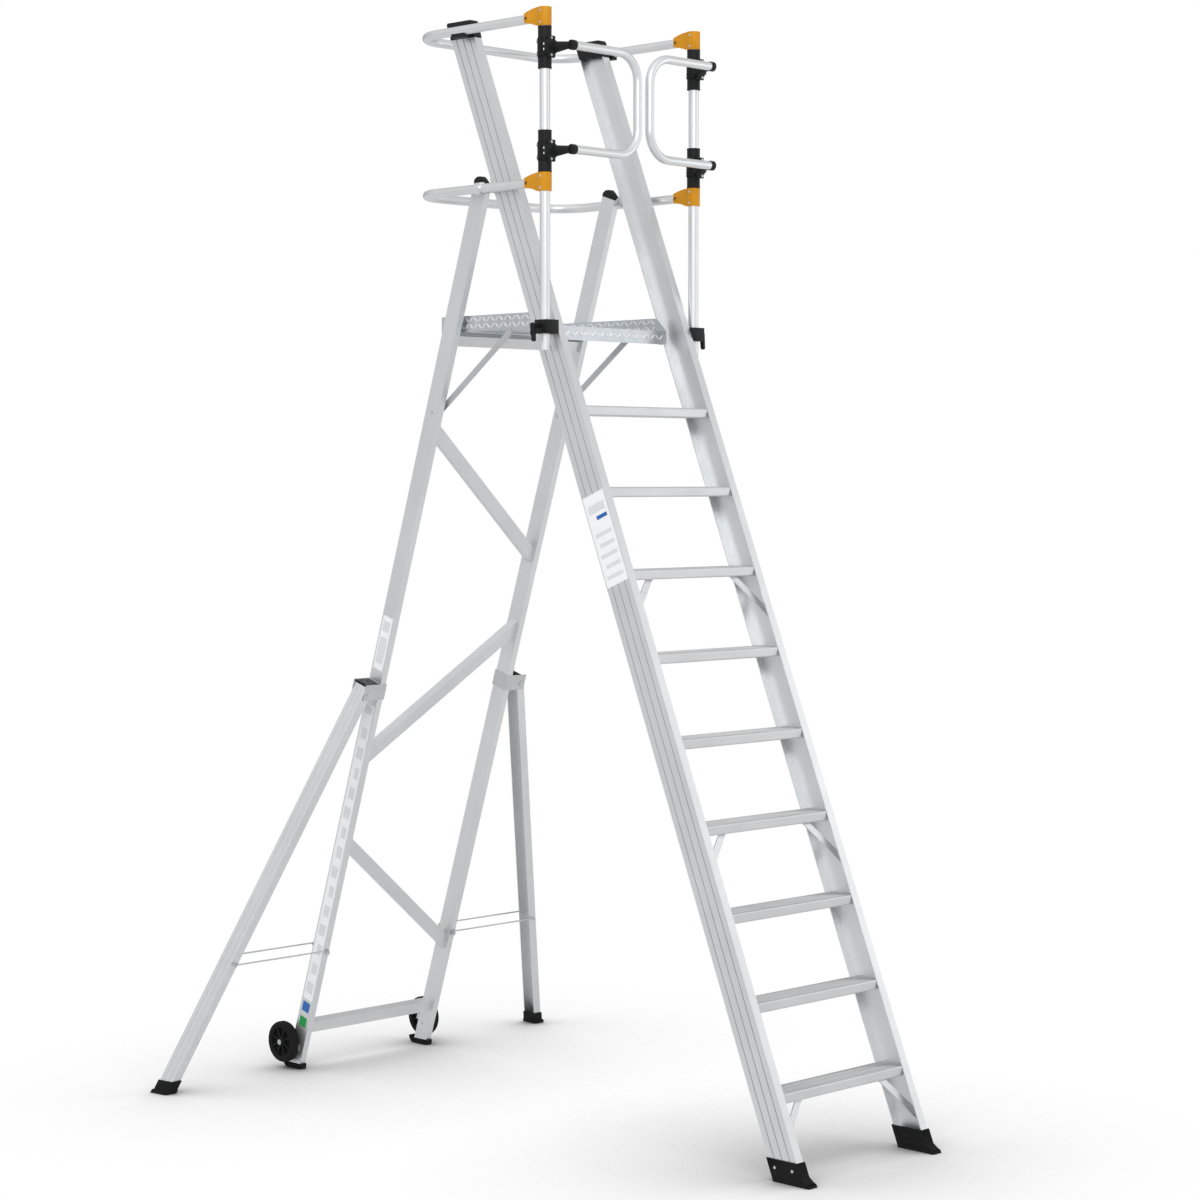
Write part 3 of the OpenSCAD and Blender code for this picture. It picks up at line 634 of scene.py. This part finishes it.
def lay_chequers():
    """Raised bars of chequer plate on the deck, inside the lips and on the front lip."""
    low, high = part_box("platform")
    lip_sheet = 0.0025
    pitch = 0.019
    margin = 0.012
    points, normals, spins = [], [], []

    def cover(origin, along, across, length, width, normal):
        rows, columns = int(width / pitch), int(length / pitch)
        for row in range(rows):
            for column in range(columns):
                points.append(Vector(origin)
                              + Vector(along) * (length * (column + 0.5) / columns)
                              + Vector(across) * (width * (row + 0.5) / rows))
                normals.append(normal)
                spins.append(math.radians(45 if (row + column) % 2 else -45))

    inner = high.x - lip_sheet
    depth = high.y - low.y
    cover((-inner + margin, low.y + margin, DECK_LEVEL), (1, 0, 0), (0, 1, 0),
          2 * (inner - margin), depth - 2 * margin, (0, 0, 1))
    lip_start = low.y + 0.050
    lip_length = high.y - 0.010 - lip_start
    for sign in (-1, 1):
        for wall in (inner, high.x):
            facing = -sign if wall == inner else sign
            cover((sign * wall, lip_start, DECK_LEVEL - 0.002), (0, 1, 0), (0, 0, 1),
                  lip_length, high.z - DECK_LEVEL, (facing, 0, 0))
    cover((-inner + margin, low.y, low.z + 0.004), (1, 0, 0), (0, 0, 1),
          2 * (inner - margin), DECK_LEVEL - low.z - 0.006, (0, -1, 0))
    settle(grow("deck_chequers", chequers, points, normals, spins), "platform",
           "deck_aluminium")


def lay_tread_beads():
    """Fine beads along the crests of the treads, which give the foot its grip."""
    crest_start, crest_pitch, crest_count = 0.016, 0.010, 7
    points = []
    for node in TREAD_NODES:
        low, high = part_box(node)
        for crest in range(crest_count):
            points.append((0.0, low.y + crest_start + crest * crest_pitch, high.z))
    settle(grow("tread_grip_beads", beads, points, [(1, 0, 0)] * len(points),
                [0.0] * len(points)), "front_frame", "tread_aluminium")


lay_chequers()
lay_tread_beads()


# ---- wheels ----

def wheel_solid(name, centre, radius, half):
    """Tyre, thin disc and hub, each turned round the axle."""
    turn = Matrix.Rotation(math.radians(90), 4, "Y")
    shape = bmesh.new()
    shoulder = 0.006
    tyre = [(radius - 0.021, -half + 0.002), (radius - 0.012, -half),
            (radius - shoulder, -half + 0.001), (radius - 0.002, -half + 0.004),
            (radius, -half + 0.009), (radius, half - 0.009),
            (radius - 0.002, half - 0.004), (radius - shoulder, half - 0.001),
            (radius - 0.012, half), (radius - 0.021, half - 0.002),
            (radius - 0.023, half - 0.006), (radius - 0.023, -half + 0.006)]
    disc = [(0.0056, -0.003), (radius - 0.022, -0.003), (radius - 0.022, 0.003),
            (0.0056, 0.003)]
    hub = [(0.0054, -half), (0.016, -half), (0.019, -half + 0.004), (0.019, half - 0.004),
           (0.016, half), (0.0054, half)]
    for outline in (tyre, disc, hub):
        lathe(shape, outline, centre, turn, 72)
    return finish_mesh(name, shape, black_rubber)


def spoke(tree):
    """One straight rib from the hub to the rim."""
    block = tree.add("GeometryNodeMeshCube")
    size = tree.add("ShaderNodeCombineXYZ", X=tree.given("Length"), Y=tree.given("Thickness"),
                    Z=tree.given("Width"))
    tree.link(size.outputs[0], block.inputs["Size"])
    return block.outputs["Mesh"]


spokes = facing_tree("wheel_spokes", black_plastic, spoke, Length=0.033, Thickness=0.0035,
                     Width=0.024)


def make_wheel(side, spoke_count=8, spoke_middle=0.0335):
    node = f"wheel_{side}"
    low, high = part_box(node)
    centre = (low + high) / 2
    radius, half = (high.z - low.z) / 2, (high.x - low.x) / 2
    settle(wheel_solid(f"wheel_{side}_moulded", centre, radius, half), node,
           "black_rubber", node)
    points, spins = [], []
    for k in range(spoke_count):
        angle = 2 * math.pi * (k + 0.5) / spoke_count
        points.append(centre + spoke_middle * Vector((0, math.sin(angle), -math.cos(angle))))
        spins.append(angle)
    settle(grow(f"wheel_{side}_spokes", spokes, points, [(1, 0, 0)] * spoke_count, spins),
           node, "black_rubber")


def axle_bolts(side):
    """The bright bolt head in the middle of a wheel, on the end of the fixed axle."""
    sign = SIDES[side]
    low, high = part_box(f"wheel_{side}")
    centre = (low + high) / 2
    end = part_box("wheel_axles")[1].x
    spot = Vector((sign * (end - 0.0012), centre.y, centre.z))
    settle(grow(f"axle_bolt_{side}", rivets, [spot], [(sign, 0, 0)], [0.0], Radius=0.0045,
                Flatness=0.3), "rear_frame", "steel_fittings")


for wheel_side in SIDES:
    make_wheel(wheel_side)
    axle_bolts(wheel_side)


# ---- small fittings ----

def fasten(name, tree, spots, body, slot, **sizes):
    """Grows one fastener on each (place, facing) spot."""
    points = [spot[0] for spot in spots]
    normals = [spot[1] for spot in spots]
    settle(grow(name, tree, points, normals, [0.0] * len(spots), **sizes), body, slot)


def connector_rivets(side):
    """Rivets through the connectors and black bolt heads where the rails pivot."""
    sign = SIDES[side]
    cheek, clamp = 0.0192, 0.0205
    bolt_y = POST.y + 0.064
    spots, pivots = [], []
    for level in RAIL_LEVELS:
        for way in (-1, 1):
            pivots.append(((sign * (POST.x + way * cheek), bolt_y, level), (way * sign, 0, 0)))
        for rise in (-0.018, 0.017):
            spots.append(((sign * (POST.x + clamp), POST.y, level + rise), (sign, 0, 0)))
            spots.append(((sign * (POST.x - clamp), POST.y, level + rise), (-sign, 0, 0)))
    fasten(f"connector_rivets_{side}", rivets, spots, f"{side}_post", "steel_fittings",
           Radius=0.0042)
    fasten(f"connector_pivots_{side}", pivot_heads, pivots, f"{side}_post", "black_plastic")


def gate_screws(side):
    """Screws in the front plate and round the clamp ring of each gate hinge."""
    sign = SIDES[side]
    ring = 0.0230
    plate_face = POST.y - 0.033
    spots = []
    for level in GATE_LEVELS:
        for rise in (-0.026, 0.026):
            spots.append(((sign * (POST.x + 0.004), plate_face, level + rise), (0, -1, 0)))
        for rise in (-0.008, 0.008):
            diagonal = Vector((sign * 0.72, -0.69, 0)).normalized()
            spots.append((Vector((sign * POST.x, POST.y, level + rise)) + diagonal * ring,
                          diagonal))
        for rise in (-0.019, 0.019):
            diagonal = Vector((sign * 0.55, 0.83, 0)).normalized()
            spots.append((Vector((sign * POST.x, POST.y, level + rise)) + diagonal * ring,
                          diagonal))
    fasten(f"gate_hinge_screws_{side}", screws, spots, f"gate_{side}", "steel_fittings",
           Radius=0.0042)


def ring_tree():
    """Raised rings round a sleeve, one on each point."""
    tree = Tree("grip_rings", Radius=0.0235, Width=0.0016)
    round_path = tree.add("GeometryNodeCurvePrimitiveCircle", Resolution=40,
                          Radius=tree.given("Radius"))
    section = tree.add("GeometryNodeCurvePrimitiveCircle", Resolution=6,
                       Radius=tree.given("Width"))
    tube = tree.add("GeometryNodeCurveToMesh", Curve=round_path.outputs["Curve"],
                    Profile_Curve=section.outputs["Curve"])
    placed = tree.add("GeometryNodeInstanceOnPoints", Points=tree.given("Geometry"),
                      Instance=tube.outputs["Mesh"])
    return tree.finish(placed.outputs[0], black_plastic)


grip_rings = ring_tree()


def sleeve_rings(side):
    """Grip rings round the gate hinges and the sleeves above and below them."""
    sign = SIDES[side]
    on_hinge, on_sleeve = [], []
    for level in GATE_LEVELS:
        for rise in (-0.024, -0.014, 0.014, 0.024):
            on_hinge.append((sign * POST.x, POST.y, level + rise))
        for rise in (-0.062, -0.030, 0.030, 0.062):
            on_sleeve.append((sign * POST.x, POST.y, level + rise))
    settle(grow(f"hinge_rings_{side}", grip_rings, on_hinge, Radius=0.0230), f"gate_{side}",
           "black_plastic")
    settle(grow(f"sleeve_rings_{side}", grip_rings, on_sleeve, Radius=0.0206),
           f"{side}_post", "black_plastic")


for fitted_side in SIDES:
    connector_rivets(fitted_side)
    gate_screws(fitted_side)
    sleeve_rings(fitted_side)


# ---- blank labels ----

def label(shape, at, x, sign, depth, height, material, lift=0.0003):
    """A flat sticker on the outside of a stile, in that stile's own frame."""
    d0, d1 = depth
    h0, h1 = height
    corners = [at(x, d0, h0), at(x, d1, h0), at(x, d1, h1), at(x, d0, h1)]
    plate(shape, corners, lift, (sign, 0, 0), material)


def stick_labels():
    inks = (label_white, label_blue, label_green, label_grey)
    white, blue, green, pale = range(4)
    shape = bmesh.new()
    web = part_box("front_stile_left")[0].x
    label(shape, along_front, web, -1, (0.004, 0.096), (1.863, 2.154), white)
    label(shape, along_front, web - 0.0003, -1, (0.014, 0.086), (2.096, 2.122), pale)
    label(shape, along_front, web - 0.0003, -1, (0.014, 0.060), (2.072, 2.084), blue)
    for step in range(5):
        start = 1.885 + step * 0.034
        label(shape, along_front, web - 0.0003, -1, (0.014, 0.086 - 0.009 * (step % 2)),
              (start, start + 0.012), pale)
    settle(finish_mesh("front_stile_label", shape, *inks), "front_frame", "black_plastic")
    shape = bmesh.new()
    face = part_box("rear_stile_left")[0].x
    label(shape, along_rear, face, -1, (0.006, 0.054), (1.458, 1.642), white)
    label(shape, along_rear, face, -1, (0.006, 0.054), (0.251, 1.335), white)
    for start, stop in ((1.590, 1.625), (1.480, 1.570), (1.300, 1.325)):
        label(shape, along_rear, face - 0.0003, -1, (0.012, 0.048), (start, stop), pale)
    for step in range(14):
        start = 0.275 + step * 0.072
        label(shape, along_rear, face - 0.0003, -1, (0.014, 0.046 - 0.005 * (step % 3)),
              (start, start + 0.040), pale)
    label(shape, along_rear, face, -1, (0.012, 0.048), (0.205, 0.240), blue)
    label(shape, along_rear, face, -1, (0.012, 0.048), (0.150, 0.185), green)
    settle(finish_mesh("rear_stile_labels", shape, *inks), "rear_frame", "black_plastic")


stick_labels()
